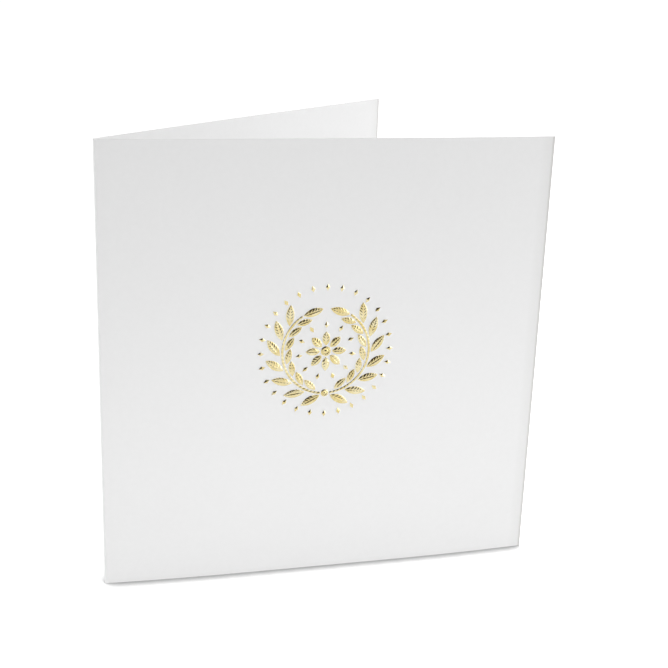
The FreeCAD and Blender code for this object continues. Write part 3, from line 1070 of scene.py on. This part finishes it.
# %% [markdown]
# ## Stamping foil
# Hot-stamping foil is a film of aluminium a few hundredths of a micrometre thick under a yellow
# lacquer. It is a true mirror with a warm tint, and it takes on the texture of the paper it is
# pressed into: a faint ripple that breaks up each reflection, and a slight haze. It could be a gold
# mask on the sheet's own material. Here each island of foil is a thin solid, so its rim is true.

# %% Foil material
ripple_size = 0.35 * mm
ripple_relief = 0.006 * mm
lacquer_size = 3.0 * mm          # patches over which the lacquer's tint and haze drift

gold_foil, tree = new_material("hot_stamped_gold_foil")
place = add(tree, "ShaderNodeTexCoord").outputs["Object"]
ripple = add(tree, "ShaderNodeTexNoise", {"Vector": place, "Scale": 1 / ripple_size, "Detail": 2.0})
lacquer = add(tree, "ShaderNodeTexNoise", {"Vector": place, "Scale": 1 / lacquer_size, "Detail": 2.0})
tone = add(tree, "ShaderNodeValToRGB", {0: lacquer})
tone.color_ramp.elements[0].position = 0.35
tone.color_ramp.elements[0].color = linear("#E2CF92")
tone.color_ramp.elements[1].position = 0.65
tone.color_ramp.elements[1].color = linear("#F2E7BE")
haze = add(tree, "ShaderNodeMapRange", {"Value": lacquer, "From Min": 0.3, "From Max": 0.7,
                                        "To Min": 0.09, "To Max": 0.15})
bump = add(tree, "ShaderNodeBump", {"Strength": 0.5, "Distance": ripple_relief, "Height": ripple})
mirror = add(tree, "ShaderNodeBsdfPrincipled", {
    "Base Color": tone, "Metallic": 1.0, "Roughness": haze, "Normal": bump})
add(tree, "ShaderNodeOutputMaterial", {"Surface": mirror})
print(gold_foil.name, len(tree.nodes), "nodes")

# %% [markdown]
# ## Fold the sheet
# The sheet's own tree folds it and dresses it: paper all over, then the cut edge on the walls.

# %% Folded card
sheet_tree, given = new_tree("folded sheet", Section="Object", Paper="Material", Edge="Material")
paper_side = finish_tree(sheet_tree, given["Geometry"], given["Section"], given["Paper"])
walls = add(sheet_tree, "GeometryNodeInputNamedAttribute", {"Name": "wall"}, data_type="BOOLEAN")
dressed = add(sheet_tree, "GeometryNodeSetMaterial",
              {0: paper_side, "Selection": walls, "Material": given["Edge"]})
add(sheet_tree, "NodeGroupOutput", {0: dressed})

card_sheet = run_tree("card_sheet", flat_sheet, sheet_tree, Section=section_line,
                      Paper=card_stock, Edge=cut_edge)
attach(card_sheet, "root")
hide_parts("folded_card")
print("card sheet", len(card_sheet.data.polygons), "faces")

# %% [markdown]
# ## Set the foil
# One tree sets a stamp at every mark, turns it, rocks it by a hair as a worn die does, moves the lot
# to the emblem's place on the sheet, and folds it with the paper. A loop could copy the meshes
# instead, but instances keep one mesh for each kind of shape until the fold bends them.

# %% Stamping tree
stamp_tree, given = new_tree("foil on the cover", Stamp="Object", Section="Object", Foil="Material",
                             Along="Float", Up="Float", Rock="Float", Seed="Int")
shape = add(stamp_tree, "GeometryNodeObjectInfo", {"Object": given["Stamp"], "As Instance": True})
turn = add(stamp_tree, "GeometryNodeInputNamedAttribute", {"Name": "turn"})
least = add(stamp_tree, "ShaderNodeMath", {0: given["Rock"], 1: -1.0}, operation="MULTIPLY")
rocks = []
# Inputs 2 and 3 of Random Value are its least and most, and output 1 is its number.
for axis in range(2):
    shuffled = add(stamp_tree, "ShaderNodeMath", {0: given["Seed"], 1: float(axis)}, operation="ADD")
    rock = add(stamp_tree, "FunctionNodeRandomValue", {2: least, 3: given["Rock"], "Seed": shuffled},
               data_type="FLOAT")
    rocks.append(rock.outputs[1])
angles = add(stamp_tree, "ShaderNodeCombineXYZ", {"X": rocks[0], "Y": rocks[1], "Z": turn})
rotation = add(stamp_tree, "FunctionNodeEulerToRotation", {0: angles})
stamped = add(stamp_tree, "GeometryNodeInstanceOnPoints", {
    "Points": given["Geometry"], "Instance": shape.outputs["Geometry"], "Rotation": rotation})
move = add(stamp_tree, "ShaderNodeCombineXYZ", {"X": given["Along"], "Y": given["Up"]})
moved = add(stamp_tree, "GeometryNodeTransform", {"Geometry": stamped, "Translation": move})
dressed = finish_tree(stamp_tree, moved, given["Section"], given["Foil"])
add(stamp_tree, "NodeGroupOutput", {0: dressed})
print("stamping tree", len(stamp_tree.nodes), "nodes")

# %% Foil pieces
speck_rock = math.radians(2.5)   # the most that a speck tips about either axis of the cover
masters = {name: stamp.foil() for name, stamp in stamps.items()}
for seed, (name, (stamp_name, _)) in enumerate(layout.items()):
    piece = run_tree(name, marks[name], stamp_tree, Stamp=masters[stamp_name], Section=section_line,
                     Foil=gold_foil, Along=emblem_along, Up=emblem_height, Seed=seed,
                     Rock=speck_rock if stamp_name == "speck" else 0.0)
    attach(piece, "root")
    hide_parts("foil_emblem")
    print(name, len(piece.data.polygons), "faces")

# %% Clear the workshop
helpers = [flat_sheet, section_line, empty_source, *marks.values(), *masters.values()]
for helper in helpers:
    bpy.data.objects.remove(helper)
print(len(helpers), "helpers cleared away")

# %% [markdown]
# ## Floor, light and surroundings
# The card stands on a plain white table that runs out of the picture. The table's white comes from
# its material, seen only by the camera and by mirrors, so that the lamps can stay at the level where
# the paper keeps its own tone. The camera sees the lit table with a glow added, so a shadow still
# shows, and mirrors see plain white. A short-range ambient occlusion draws the thin dark line of
# contact under the card.

# %% Floor
floor_half = 8.0                 # metres


def flat_square(name, half, material):
    """A square sheet of scenery, with half its side given."""
    mesh = bpy.data.meshes.new(name)
    mesh.from_pydata([(-half, -half, 0), (half, -half, 0), (half, half, 0), (-half, half, 0)],
                     [], [(0, 1, 2, 3)])
    mesh.materials.append(material)
    return mesh_object(name, mesh)


white_table, tree = new_material("white_table")
floor = flat_square("floor", floor_half, white_table)
print("floor", 2 * floor_half, "m across")

# %% White table material
table_glow = 0.6
contact_reach = 7.5 * mm         # how far from the card the contact shadow reaches
contact_tone = 0.25              # what is left of the table's white where the card touches it
contact_full = 0.5               # the shadow is full where this share of the sky or less is open,
contact_gone = 0.95              # and gone where this share is

path = add(tree, "ShaderNodeLightPath").outputs
mirrored = add(tree, "ShaderNodeMath", {0: path["Is Glossy Ray"], 1: path["Is Transmission Ray"]},
               operation="ADD", use_clamp=True)
occlusion = add(tree, "ShaderNodeAmbientOcclusion", {"Distance": contact_reach}, samples=16)
contact = add(tree, "ShaderNodeMapRange", {
    "Value": occlusion.outputs["AO"], "From Min": contact_full, "From Max": contact_gone,
    "To Min": contact_tone, "To Max": 1.0})
plain = add(tree, "ShaderNodeBsdfDiffuse", {"Color": linear("#EFEFEF")})
shaded = add(tree, "ShaderNodeMix", {0: contact, 6: linear("#000000"), 7: linear("#EFEFEF")},
             data_type="RGBA")
lit = add(tree, "ShaderNodeBsdfDiffuse", {"Color": shaded.outputs[2]})
glow = add(tree, "ShaderNodeMath", {0: contact, 1: table_glow}, operation="MULTIPLY")
glowing = add(tree, "ShaderNodeEmission", {"Color": linear("#FFFFFF"), "Strength": glow})
pictured = add(tree, "ShaderNodeAddShader", {0: lit, 1: glowing})
white = add(tree, "ShaderNodeEmission", {"Color": linear("#FFFFFF"), "Strength": contact})
surface = add(tree, "ShaderNodeMixShader", {0: path["Is Camera Ray"], 1: plain, 2: pictured})
surface = add(tree, "ShaderNodeMixShader", {0: mirrored, 1: surface, 2: white})
add(tree, "ShaderNodeOutputMaterial", {"Surface": surface})
print(white_table.name, len(tree.nodes), "nodes")

# %% World
room_strength = 0.52
world = bpy.data.worlds.new("studio")
bpy.context.scene.world = world
world.use_nodes = True
tree = world.node_tree
tree.nodes.clear()
path = add(tree, "ShaderNodeLightPath").outputs
seen = add(tree, "ShaderNodeMath", {0: path["Is Camera Ray"], 1: path["Is Glossy Ray"]},
           operation="ADD")
seen = add(tree, "ShaderNodeMath", {0: seen, 1: path["Is Transmission Ray"]}, operation="ADD",
           use_clamp=True)
soft = add(tree, "ShaderNodeBackground", {"Color": linear("#FFFFFF"), "Strength": room_strength})
white = add(tree, "ShaderNodeBackground", {"Color": linear("#FFFFFF"), "Strength": 1.0})
mixed = add(tree, "ShaderNodeMixShader", {0: seen, 1: soft, 2: white})
add(tree, "ShaderNodeOutputWorld", {"Surface": mixed})
print(world.name, len(tree.nodes), "nodes")


# %% [markdown]
# Most of the light is the white room itself. A softbox overhead keeps the upper edges bright, one at
# the right reaches in between the panels, one behind at the left lights the fold, and a low strip in
# front lifts the foot of the cover, as the photograph shows it.

# %% Lamps
def aim(made, place, target):
    """Set an object at a place, with its face, which is its -Z, towards the target."""
    made.location = place
    made.rotation_euler = (Vector(target) - Vector(place)).to_track_quat("-Z", "Y").to_euler()


def lamp(name, place, target, size, watts):
    """A rectangular softbox that the camera doesn't see. Places and sizes are in metres."""
    data = bpy.data.lights.new(name, "AREA")
    data.shape = "RECTANGLE"
    data.size, data.size_y = size
    data.energy = watts
    made = bpy.data.objects.new(name, data)
    bpy.context.scene.collection.objects.link(made)
    aim(made, Vector(place), Vector(target))
    made.visible_camera = False
    return made


card_middle = Vector((0, 0, panel_height / 2))
lamp("softbox_overhead", (0.05, 0, 1.0), card_middle, (0.9, 0.9), 3.2)
lamp("softbox_right", (0.9, -0.38, 0.42), card_middle, (1.4, 0.9), 6.5)
lamp("softbox_left_rear", (-0.75, 0.45, 0.35), card_middle, (0.7, 0.6), 2.6)
strip = lamp("strip", (-0.06, -0.17, 0.015), (0.0, 0.0, 0.015), (0.4, 0.028), 0.083)
strip.visible_glossy = False
watts = sum(light.energy for light in bpy.data.lights)
print(len(bpy.data.lights), "lamps,", round(watts, 2), "W in all")

# %% [markdown]
# Gold foil shows its shape only if some of what it mirrors is dark. In a studio, whatever is dark
# behind the camera does that. Here it is a round dark screen of brown felt with a soft edge, which
# mirrors see and paper doesn't.

# %% Dark screen
screen_distance = 0.9            # metres, from the card's middle
screen_half = 0.76               # metres
screen_core = 0.55               # share of the screen that is quite dark, before it starts to fade

brown_felt, tree = new_material("brown_felt_screen")
screen = flat_square("dark_screen", screen_half, brown_felt)
behind_camera = card_middle + (camera_place - card_middle).normalized() * screen_distance
aim(screen, behind_camera, card_middle)

place = add(tree, "ShaderNodeTexCoord").outputs["Object"]
from_middle = add(tree, "ShaderNodeVectorMath", {0: place}, operation="LENGTH").outputs["Value"]
edge = add(tree, "ShaderNodeMapRange", {
    "Value": from_middle, "From Min": screen_core * screen_half, "From Max": screen_half},
    interpolation_type="SMOOTHSTEP")
felt = add(tree, "ShaderNodeEmission", {"Color": linear("#33260A"), "Strength": 1.0})
gone = add(tree, "ShaderNodeBsdfTransparent")
faded = add(tree, "ShaderNodeMixShader", {0: edge, 1: felt, 2: gone})
add(tree, "ShaderNodeOutputMaterial", {"Surface": faded})
screen.visible_camera = False
screen.visible_diffuse = False
screen.visible_transmission = False
screen.visible_shadow = False
print(brown_felt.name, len(tree.nodes), "nodes, at", [round(x, 2) for x in screen.location], "m")

# %% Finish
bpy.context.scene.view_settings.view_transform = "Standard"
